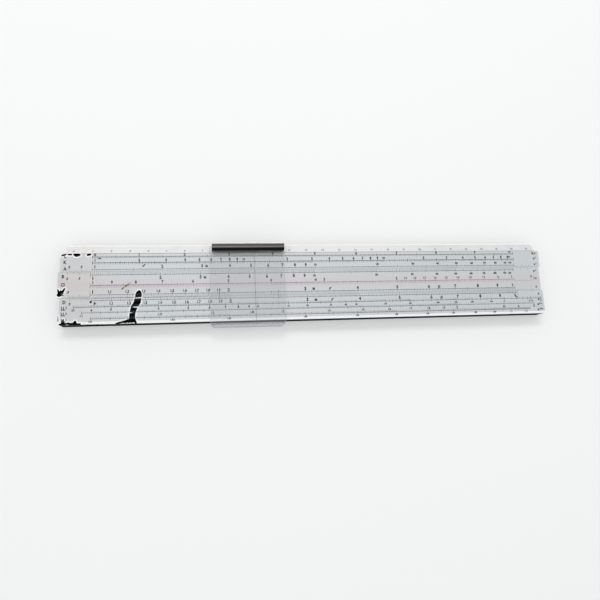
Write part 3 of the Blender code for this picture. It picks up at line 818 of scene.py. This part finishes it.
def runner_finish(name, runner, box, seed):
    """Blackened metal brushed along, with painted shade on its front and painted highlights on its ridge,
    front lip and back edge.
    """
    finish = Finish(name, {"Metallic": 0.9, "IOR": USUAL_IOR})
    _, y, z = finish.place()
    low, high = (corner / MM for corner in box)
    brushing = finish.noise(0.09, seed, detail=3, drawn=(70, 1, 1))
    clouds = finish.noise(2.6, seed + 2, detail=4)
    uneven = (clouds - 0.5) * 0.5
    # Painted shade: the front of the runner is drawn near black
    colour = finish.mix(finish.rise(y, low.y + 1.7, low.y + 2.5), RUNNER_FRONT_SHADE, runner)
    # Painted highlight along the ridge of the rounded top
    ridge = finish.fall(abs(y - (high.y - 3.5) + uneven * 0.4), 0.1, 0.55)
    colour = finish.mix(ridge * finish.rise(z, high.z - 1, high.z), colour, RUNNER_RIDGE_HIGHLIGHT)
    # Painted highlight along the rounded back edge
    back = finish.rise(y + uneven * 0.5, high.y - 1.8, high.y - 1.2)
    back = back * finish.rise(z, high.z - 2.6, high.z - 1.6)
    colour = finish.mix(back, colour, RUNNER_BACK_HIGHLIGHT)
    # Painted highlight along the front lip
    lip = finish.fall(y + uneven * 0.3, low.y + 0.1, low.y + 0.5)
    lip = lip * finish.rise(z, high.z - 1.2, high.z - 0.3)
    colour = finish.mix(lip * 0.8, colour, RUNNER_LIP_HIGHLIGHT)
    colour = finish.mix(finish.rise(brushing, 0.55, 0.8) * 0.2, colour, RUNNER_BRUSHING)
    return finish.done({
        "Base Color": colour,
        "Roughness": 0.26 + clouds * 0.12 + brushing * 0.12,
        "Normal": finish.bump(brushing, 0.3, 0.01),
    })


def clear_finish(name, clear, box, seed, body, rim):
    """Clear acrylic with fine scratches, faintly tinted, less clear at its rims and where it turns away."""
    finish = Finish(name, {"IOR": ACRYLIC_IOR})
    x, y, _ = finish.place()
    low, high = (corner / MM for corner in box)
    scratch = finish.rise(finish.noise(0.16, seed, detail=3, drawn=(40, 1, 1)), 0.63, 0.75)
    smear = finish.noise(7, seed + 3, detail=4)
    edge = finish.least(x - low.x, high.x - x, y - low.y, high.y - y)
    border = finish.fall(edge, 0.25, 0.9)
    skin = Reading(finish, finish.node("ShaderNodeFresnel", {"IOR": ACRYLIC_IOR}).outputs[0])
    outside = 1 - Reading(finish, finish.node("ShaderNodeNewGeometry").outputs["Backfacing"])
    alpha = body + skin * outside * 0.6 + border * rim + scratch * 0.05 + (smear - 0.5) * 0.02
    colour = finish.mix(border * 0.5, clear, CLEAR_RIM)
    return finish.done({
        "Base Color": colour,
        "Alpha": finish.least(alpha, 1.0),
        "Roughness": 0.05 + smear * 0.08 + scratch * 0.2,
        "Normal": finish.bump(scratch, 0.1, 0.01),
    })


def metal_finish(name, metal, seed, drawn, size, roughness, tarnish):
    """Bare metal with soft tarnish, a few deeper scratches and a brushed grain of a size in mm."""
    finish = Finish(name, {"Metallic": 1.0})
    grain = finish.noise(size, seed, detail=3, drawn=drawn)
    clouds = finish.noise(9, seed + 2, detail=4)
    scratch = finish.rise(finish.noise(0.5, seed + 6, detail=2, drawn=(14, 1.5, 1)), 0.66, 0.72)
    dull = finish.rise(clouds, 0.45, 0.75)
    colour = finish.mix(dull * 0.45 + grain * 0.15, metal, tarnish)
    colour = finish.mix(scratch * 0.4, colour, METAL_SCRATCH)
    return finish.done({
        "Base Color": colour,
        "Roughness": roughness + grain * 0.18 + dull * 0.12 - scratch * 0.08,
        "Normal": finish.bump(grain - scratch * 0.5, 0.35, 0.015),
    })


# Pieces


def dress(name, material):
    """Gives a solid of the frame a finish."""
    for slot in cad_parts[name].material_slots:
        slot.material = material


def make_object(name, mesh, material):
    """An object of a bmesh, which is used up."""
    data = bpy.data.meshes.new(name)
    mesh.to_mesh(data)
    mesh.free()
    data.materials.append(material)
    made = bpy.data.objects.new(name, data)
    bpy.context.scene.collection.objects.link(made)
    return made


def make_piece(name, mesh, material, body):
    """An object of a bmesh that rides on a body."""
    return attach(make_object(name, mesh, material), body)


def solid_copy(node):
    """A solid of the frame as a bmesh, with its corners merged and its flat faces whole."""
    mesh = bmesh.new()
    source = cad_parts[node].data.copy()
    if "custom_normal" in source.attributes:
        source.attributes.remove(source.attributes["custom_normal"])
    mesh.from_mesh(source)
    bpy.data.meshes.remove(source)
    bmesh.ops.remove_doubles(mesh, verts=mesh.verts, dist=0.001 * MM)
    bmesh.ops.dissolve_limit(mesh, angle_limit=math.radians(1), verts=mesh.verts, edges=mesh.edges)
    for face in mesh.faces:
        face.material_index = 0
        face.smooth = True
    for edge in mesh.edges:
        edge.smooth = True
    return mesh


def stand_in(node, mesh, material, body):
    """A finished copy of a solid, which stands for it."""
    piece = make_piece(node + "_finished", mesh, material, body)
    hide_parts(node)
    return piece


def close_fitting(node, body, material, extra):
    """Stands a copy for a facing, wider on both sides so that its joints look as tight as real ones."""
    mesh = solid_copy(node)
    low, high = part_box(node)
    for face in mesh.faces:
        face.smooth = False
    for vertex in mesh.verts:
        if vertex.co.y - low.y < SIDE_REACH * MM:
            vertex.co.y -= extra * MM
        elif high.y - vertex.co.y < SIDE_REACH * MM:
            vertex.co.y += extra * MM
    stand_in(node, mesh, material, body)


def softened(node, body, material, width, segments=2):
    """Stands a copy for a solid, with its sharp edges rounded."""
    piece = stand_in(node, solid_copy(node), material, body)
    bevel = piece.modifiers.new("edges", "BEVEL")
    bevel.width = width * MM
    bevel.segments = segments
    bevel.limit_method = "ANGLE"
    bevel.angle_limit = math.radians(ROUNDED_TURN)
    bevel.harden_normals = False
    piece.data.set_sharp_from_angle(angle=math.radians(SHARP_TURN))


def add_bar(mesh, x_low, x_high, y_low, y_high, height):
    """Adds a thin closed bar of ink, sunk a little into what it is printed on."""
    sunk = height / 2
    middle = Vector(((x_low + x_high) / 2, (y_low + y_high) / 2, (height - sunk) / 2))
    size = Vector((x_high - x_low, y_high - y_low, height + sunk))
    bmesh.ops.create_cube(mesh, size=1, matrix=Matrix.Translation(middle) @ Matrix.Diagonal((*size, 1)))


@cache
def letter_mesh(text, bold):
    """A word in the built-in font as a closed mesh, half a unit deep either side of its plane."""
    curve = bpy.data.curves.new("word", "FONT")
    curve.body = text
    curve.resolution_u = 3
    curve.offset = bold
    curve.extrude = 0.5
    words = bpy.data.objects.new("word", curve)
    bpy.context.scene.collection.objects.link(words)
    ready = words.evaluated_get(bpy.context.evaluated_depsgraph_get())
    made = bpy.data.meshes.new_from_object(ready)
    bpy.data.objects.remove(words)
    bpy.data.curves.remove(curve)
    return made


# Height of a figure in the built-in font, where letters are set at size one
FONT_HEIGHT = 0.69

# Raised parts of a word: their size and lift as shares of the figure height, and the gap after a part
RAISED_SIZE = 0.62
RAISED_LIFT = 0.4
PART_GAP = 0.08


def add_word(mesh, text, x, y, settings, share=1.0, narrow=0.85):
    """Adds a word centred on a place. What follows a ^ is raised and smaller, and ^ again ends it."""
    height = settings.figure_height * share
    pen = 0.0
    added = []
    for index, part in enumerate(text.split("^")):
        if not part:
            continue
        raised = index % 2
        size = height / FONT_HEIGHT * (RAISED_SIZE if raised else 1)
        lift = height * RAISED_LIFT if raised else 0
        word = letter_mesh(part, settings.boldness)
        left = min(vertex.co.x for vertex in word.vertices)
        right = max(vertex.co.x for vertex in word.vertices)
        shrink = Matrix.Diagonal((size * narrow, size, settings.ink_height, 1))
        count = len(mesh.verts)
        mesh.from_mesh(word)
        mesh.verts.ensure_lookup_table()
        fresh = mesh.verts[count:]
        place = Matrix.Translation((pen - left * size * narrow, lift, 0)) @ shrink
        bmesh.ops.transform(mesh, matrix=place, verts=fresh)
        added.extend(fresh)
        pen += ((right - left) * narrow + PART_GAP) * size
    bmesh.ops.translate(mesh, vec=(x - pen / 2, y - height / 2, 0), verts=added)


# Height and width of a figure as shares: of a decimal, and of a whole number by its count of digits
DECIMAL_FORM = (0.93, 0.85)
WHOLE_FORMS = ((1.1, 0.98), (0.77, 1.12), (0.72, 1.0), (0.66, 0.9))


def figure_form(text):
    """Height and width of a figure, as shares of the full ones."""
    return DECIMAL_FORM if "." in text else WHOLE_FORMS[min(len(text), len(WHOLE_FORMS)) - 1]


def graduations(scale_spans):
    """Values of a scale's lines, each with 0, 1 or 2 for a short, middle or long line."""
    for span in scale_spans:
        first, last, middle, long = (
            round(value / span.short) for value in (span.first, span.last, span.middle, span.long)
        )
        for index in range(first, last + (span is scale_spans[-1])):
            level = 2 if index % long == 0 else 1 if index % middle == 0 else 0
            yield index * span.short, level


def scale_x(share, settings):
    """Place along the rule of a share of the scale's length."""
    return (share - 0.5) * settings.length


# Widths of short, middle and long lines as shares of the stroke
LINE_SHARES = (0.85, 1.2, 1.6)


def add_lines(mesh, scale, settings):
    """Adds a scale's graduation lines and gives their first and last place."""
    start = scale.row.start * MM
    base = scale.row.base * MM
    side = math.copysign(1, base - start)
    reaches = (0, side * settings.middle_reach, side * settings.long_reach)
    places = []
    for value, level in graduations(scale.spans):
        x = scale_x(scale.share(value), settings)
        half = settings.stroke * scale.weight * LINE_SHARES[level] / 2
        low, high = sorted((start, base + reaches[level]))
        add_bar(mesh, x - half, x + half, low, high, settings.ink_height)
        places.append(x)
    return min(places), max(places)


def add_scale(mesh, scale, settings):
    """Adds a scale with its lines, figures, letters and formula, about its joint."""
    first, last = add_lines(mesh, scale, settings)
    figures = scale.row.figures * MM
    base = scale.row.base * MM
    half = settings.base_stroke * (1 + scale.weight) / 4
    add_bar(mesh, first, last, base - half, base + half, settings.ink_height)
    ends = [scale_x(share, settings) for share in (0, 1)]
    for value, text in scale.figures.items():
        x = scale_x(scale.share(value), settings)
        shift = 0.0
        if scale.indexed and min(abs(x - end) for end in ends) < settings.stroke:
            shift = math.copysign(settings.figure_height * (END_SHIFT + DIGIT_SHIFT * len(text)), -x)
            low, high = sorted((scale.row.start * MM, figures))
            half = settings.stroke / 2
            add_bar(mesh, x - half, x + half, low, high, settings.ink_height)
        share, narrow = figure_form(text)
        add_word(mesh, text, x + shift, figures, settings, scale.figure_share * share, narrow)
    beside = base + (figures - base) * LETTER_WAY
    out = settings.length / 2 + LETTER_OUT * MM
    add_word(mesh, scale.letters, -out, beside, settings, LETTER_SHARE)
    add_word(mesh, scale.formula or scale.letters, out, beside, settings)


def add_extension(mesh, scale, settings):
    """Adds an extension with its lines and figures, about its joint."""
    first, last = add_lines(mesh, scale, settings)
    for value, text in scale.figures.items():
        x = scale_x(scale.share(value), settings)
        add_word(mesh, text, x, scale.row.figures * MM, settings, scale.figure_share)
    if scale.lined:
        start = scale.row.start * MM
        add_bar(mesh, first, last, start - settings.base_stroke / 2, start, settings.ink_height)


def finish_print(mesh, name, surface, material, body):
    """Sets printing down on a surface of the rule."""
    bmesh.ops.remove_doubles(mesh, verts=mesh.verts, dist=0.0005 * MM)
    bmesh.ops.transform(mesh, matrix=surface, verts=mesh.verts)
    bmesh.ops.recalc_face_normals(mesh, faces=mesh.faces)
    make_piece(name, mesh, material, body)


def print_scales(scales, add, surface, body, settings, inks):
    """Prints scales or extensions on a surface, one piece for each of them."""
    for scale in scales:
        mesh = bmesh.new()
        add(mesh, scale, settings)
        row = surface @ Matrix.Translation((0, scale.row.joint_y, 0))
        finish_print(mesh, scale.name, row, inks[scale.ink], body)


# Operators


class SLIDE_RULE_OT_finish_stock(bpy.types.Operator):
    """Finishes the rails, the facings of the stock, the back plate, the windows and the screws"""

    bl_idname = "slide_rule.finish_stock"
    bl_label = "Finish Stock"

    def execute(self, context):
        colours = context.scene.slide_rule.colours
        core = core_finish("dark_core_finish", colours.core, 3.0)
        for name in ("upper_rail", "lower_rail"):
            softened(name, "stock", core, RAIL_ROUNDING)
        lower_marks = {
            "stains": STREAK_ON_STOCK + EDGE_BITES, "gaps": STREAK_GAPS_AND_HIGHLIGHTS, "specks": LOWER_SPECKS,
            "rims": ("low",),
        }
        facings = (
            ("lower_facing", 11.0, colours.face, lower_marks),
            ("upper_facing", 23.0, colours.face, {"stains": JOINT_DASHES, "specks": UPPER_SPECKS}),
            # The bevel's lighter colour is painted light on its slope
            ("bevel_facing", 37.0, colours.bevel, {"stains": JOINT_DASHES, "rims": ("high",)}),
            ("well_facing", 41.0, colours.face, {}),
        )
        for name, seed, base, marks in facings:
            dress(name, facing_finish(f"{name}_finish", colours, seed, base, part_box(name), **marks))
        for name in ("left_index_window", "right_index_window"):
            dress(name, clear_finish(f"{name}_finish", colours.clear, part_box(name), 15.0, 0.08, 0.2))
        plate = metal_finish("back_plate_finish", colours.plate, 5.0, (80, 1, 1), 0.12, 0.28, PLATE_TARNISH)
        softened("back_plate", "stock", plate, PLATE_ROUNDING)
        steel = metal_finish("screw_finish", colours.steel, 9.0, (1, 12, 1), 0.1, 0.26, SCREW_TARNISH)
        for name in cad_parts:
            if name.startswith("back_plate_screw"):
                softened(name, "stock", steel, SCREW_ROUNDING)
        return {"FINISHED"}


class SLIDE_RULE_OT_finish_slide(bpy.types.Operator):
    """Finishes the slide's core and its two facings"""

    bl_idname = "slide_rule.finish_slide"
    bl_label = "Finish Slide"

    def execute(self, context):
        colours = context.scene.slide_rule.colours
        core = core_finish("slide_core_finish", colours.core, 7.0)
        softened("slide_core", "slide", core, CORE_ROUNDING)
        face = facing_finish(
            "slide_facing_finish", colours, 53.0, colours.slide, SLIDE_FACE,
            stains=STREAK_ON_SLIDE + SLIDE_BLOT, scratches=SLIDE_SCRATCH, blush=BLUSH_Y,
        )
        close_fitting("slide_facing", "slide", face, SLIDE_OVERLAP)
        back = facing_finish("slide_back_finish", colours, 61.0, colours.slide, SLIDE_BACK)
        dress("slide_back_facing", back)
        return {"FINISHED"}


class SLIDE_RULE_OT_finish_cursor(bpy.types.Operator):
    """Finishes the cursor's pane, its two runners and its leaf spring"""

    bl_idname = "slide_rule.finish_cursor"
    bl_label = "Finish Cursor"

    def execute(self, context):
        colours = context.scene.slide_rule.colours
        pane = clear_finish("cursor_pane_finish", colours.clear, PANE, 71.0, 0.06, 0.12)
        softened("cursor_pane", "cursor", pane, PANE_ROUNDING)
        clear = clear_finish("lower_runner_finish", colours.clear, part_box("lower_runner"), 73.0, 0.3, 0.2)
        softened("lower_runner", "cursor", clear, CLEAR_RUNNER_ROUNDING)
        dark = runner_finish("upper_runner_finish", colours.runner, RUNNER, 79.0)
        softened("upper_runner", "cursor", dark, DARK_RUNNER_ROUNDING, segments=3)
        steel = metal_finish("spring_finish", colours.steel, 83.0, (30, 1, 1), 0.1, 0.2, SPRING_TARNISH)
        softened("cursor_spring", "cursor", steel, SPRING_ROUNDING)
        return {"FINISHED"}


class SLIDE_RULE_OT_print_stock(bpy.types.Operator):
    """Prints the scales of the stock's upper and lower faces"""

    bl_idname = "slide_rule.print_stock"
    bl_label = "Print Stock Scales"

    def execute(self, context):
        rule = context.scene.slide_rule
        inks = face_inks("stock", rule.colours, 2.0)
        print_scales(UPPER_SCALES + LOWER_SCALES, add_scale, STOCK_FRONT, "stock", rule.scales, inks)
        print_scales(EXTENSIONS, add_extension, STOCK_FRONT, "stock", rule.scales, inks)
        return {"FINISHED"}


class SLIDE_RULE_OT_print_slide(bpy.types.Operator):
    """Prints the scales of the slide's face and of its back"""

    bl_idname = "slide_rule.print_slide"
    bl_label = "Print Slide Scales"

    def execute(self, context):
        rule = context.scene.slide_rule
        inks = face_inks("slide", rule.colours, 12.0)
        print_scales(SLIDE_SCALES, add_scale, SLIDE_FRONT, "slide", rule.scales, inks)
        print_scales(SLIDE_EXTENSIONS, add_extension, SLIDE_FRONT, "slide", rule.scales, inks)
        print_scales(BACK_SCALES, add_scale, SLIDE_REVERSE, "slide", rule.scales, inks)
        return {"FINISHED"}


class SLIDE_RULE_OT_print_bevel(bpy.types.Operator):
    """Prints a plain centimetre scale along the bevelled edge"""

    bl_idname = "slide_rule.print_bevel"
    bl_label = "Print Bevel"

    def execute(self, context):
        rule = context.scene.slide_rule
        settings = rule.scales
        mesh = bmesh.new()
        half = settings.stroke * RULER_STROKE / 2
        outer = BEVEL_REACH - RULER_MARGIN * MM
        for value, level in graduations(RULER_SPANS):
            x = (RULER_ZERO + value * 10) * MM
            inner = outer - RULER_LINES[level] * MM
            add_bar(mesh, x - half, x + half, inner, outer, settings.ink_height)
            if level == 2:
                add_word(mesh, f"{value:g}", x, RULER_FIGURES * MM, settings, RULER_FIGURE_SHARE)
        faint = ink_finish("bevel_ink", rule.colours.ruler_ink, rule.colours.bevel, 21.0, worn=0.6)
        finish_print(mesh, "bevel_ruler", BEVEL_SURFACE, faint, "stock")
        return {"FINISHED"}


class SLIDE_RULE_OT_draw_hairlines(bpy.types.Operator):
    """Draws the cursor's hairlines under its pane and the index lines of the two windows"""

    bl_idname = "slide_rule.draw_hairlines"
    bl_label = "Draw Hairlines"

    def execute(self, context):
        rule = context.scene.slide_rule
        settings = rule.scales
        middle = (PANE[0].x + PANE[1].x) / 2
        main = middle + settings.hairline_shift
        short = [LOWER_JOINT_Y + side * SHORT_HAIRLINE_HALF * MM for side in (-1, 1)]
        lines = (
            ("main_hairline", main, PANE[0].y + HAIRLINE_FOOT * MM, RUNNER[0].y + HAIRLINE_HEAD * MM),
            ("left_hairline", main + LEFT_HAIRLINE * MM, *short),
            ("right_hairline", main + RIGHT_HAIRLINE * MM, *short),
        )
        black = ink_finish("hairline_ink", rule.colours.black_ink, rule.colours.clear, 31.0, worn=0.15)
        half = settings.hairline / 2
        for name, x, low, high in lines:
            mesh = bmesh.new()
            add_bar(mesh, x - half, x + half, -high, -low, settings.ink_height)
            finish_print(mesh, name, PANE_UNDERSIDE, black, "cursor")
        red = ink_finish("window_ink", rule.colours.red_ink, rule.colours.clear, 33.0, worn=0.15)
        for side in ("left", "right"):
            low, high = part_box(f"{side}_index_window")
            x = math.copysign(settings.length / 2, low.x)
            mesh = bmesh.new()
            foot = low.y + WINDOW_MARGIN * MM
            head = high.y - WINDOW_MARGIN * MM
            add_bar(mesh, x - half, x + half, foot, head, settings.ink_height)
            finish_print(mesh, f"{side}_window_line", Matrix.Translation((0, 0, high.z)), red, "stock")
        return {"FINISHED"}


# The floor: half its side in metres, its distance under the rule in mm and how much it glows to the camera
FLOOR_HALF = 20
FLOOR_DROP = 0.02
FLOOR_GLOW = 0.35

# Colours of the even light and of the background
FILL_COLOUR = (0.98, 0.99, 1.0)
WHITE = (1.0, 1.0, 1.0)


class SLIDE_RULE_OT_set_stage(bpy.types.Operator):
    """Sets up the floor, the lamp, the background and the camera"""

    bl_idname = "slide_rule.set_stage"
    bl_label = "Set Stage"

    def execute(self, context):
        stage = context.scene.slide_rule.stage
        self.make_floor(stage)
        self.make_world(context.scene, stage)
        self.make_key(stage)
        camera = bpy.data.objects.new("camera", bpy.data.cameras.new("camera"))
        camera.location = stage.camera_place
        camera.rotation_euler = stage.camera_turn
        camera.data.lens = stage.lens
        camera.data.clip_start = 10 * MM
        context.scene.collection.objects.link(camera)
        context.scene.camera = camera
        context.scene.view_settings.view_transform = "Standard"
        return {"FINISHED"}

    def make_floor(self, stage):
        """A pale floor just under the rule, white to the camera but for its shadows."""
        finish = Finish("floor_finish", {"Roughness": 0.9, "Base Color": stage.floor})
        camera_ray = finish.node("ShaderNodeLightPath").outputs["Is Camera Ray"]
        glow = finish.node("ShaderNodeEmission", {"Color": WHITE, "Strength": 1.0})
        finish.blend(Reading(finish, camera_ray) * FLOOR_GLOW, glow)
        mesh = bmesh.new()
        bmesh.ops.create_grid(mesh, x_segments=1, y_segments=1, size=FLOOR_HALF)
        bmesh.ops.translate(mesh, vec=(0, 0, -FLOOR_DROP * MM), verts=mesh.verts)
        make_object("floor", mesh, finish.material)

    def make_world(self, scene, stage):
        """An even fill for diffuse light, and white where camera, gloss or glass sees past the floor."""
        scene.world = bpy.data.worlds.new("studio")
        scene.world.use_nodes = True
        nodes = Nodes(scene.world.node_tree)
        fill = nodes.tree.nodes["Background"]
        nodes.feed(fill, {"Color": FILL_COLOUR, "Strength": stage.fill})
        white = nodes.node("ShaderNodeBackground", {"Color": WHITE, "Strength": 1.0})
        path = nodes.node("ShaderNodeLightPath").outputs
        seen = nodes.greatest(*(path[f"Is {ray} Ray"] for ray in ("Camera", "Glossy", "Transmission")))
        nodes.end("World Output", seen, fill, white)

    def make_key(self, stage):
        """A flat lamp that faces the middle of the rule."""
        lamp = bpy.data.lights.new("key_lamp", "AREA")
        lamp.shape = "RECTANGLE"
        lamp.size = stage.key_length
        lamp.size_y = stage.key_width
        lamp.energy = stage.key_power
        holder = bpy.data.objects.new("key_lamp", lamp)
        holder.location = stage.key_place
        holder.rotation_euler = (-holder.location).to_track_quat("-Z", "Y").to_euler()
        bpy.context.scene.collection.objects.link(holder)


class SLIDE_RULE_PT_tools(bpy.types.Panel):
    """Lists the steps that make the rule"""

    bl_idname = "SLIDE_RULE_PT_tools"
    bl_label = "Slide Rule"
    bl_space_type = "VIEW_3D"
    bl_region_type = "UI"
    bl_category = "Slide Rule"

    def draw(self, context):
        for step in STEPS:
            self.layout.operator(step.bl_idname)
        for group in ("scales", "colours", "stage"):
            settings = getattr(context.scene.slide_rule, group)
            box = self.layout.box()
            for name in settings.bl_rna.properties.keys():
                if name not in ("rna_type", "name"):
                    box.prop(settings, name)


STEPS = (
    SLIDE_RULE_OT_finish_stock,
    SLIDE_RULE_OT_finish_slide,
    SLIDE_RULE_OT_finish_cursor,
    SLIDE_RULE_OT_print_stock,
    SLIDE_RULE_OT_print_slide,
    SLIDE_RULE_OT_print_bevel,
    SLIDE_RULE_OT_draw_hairlines,
    SLIDE_RULE_OT_set_stage,
)
CLASSES = (ScaleSettings, ColourSettings, StageSettings, SlideRuleSettings, *STEPS, SLIDE_RULE_PT_tools)


def register():
    """Registers the classes and the settings of the scene."""
    for item in CLASSES:
        bpy.utils.register_class(item)
    bpy.types.Scene.slide_rule = PointerProperty(type=SlideRuleSettings)


def unregister():
    """Takes the settings and the classes away again."""
    del bpy.types.Scene.slide_rule
    for item in reversed(CLASSES):
        bpy.utils.unregister_class(item)


def main():
    """Makes the rule step by step."""
    register()
    for step in STEPS:
        group, name = step.bl_idname.split(".")
        getattr(getattr(bpy.ops, group), name)()
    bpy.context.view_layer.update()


if __name__ == "__main__":
    main()
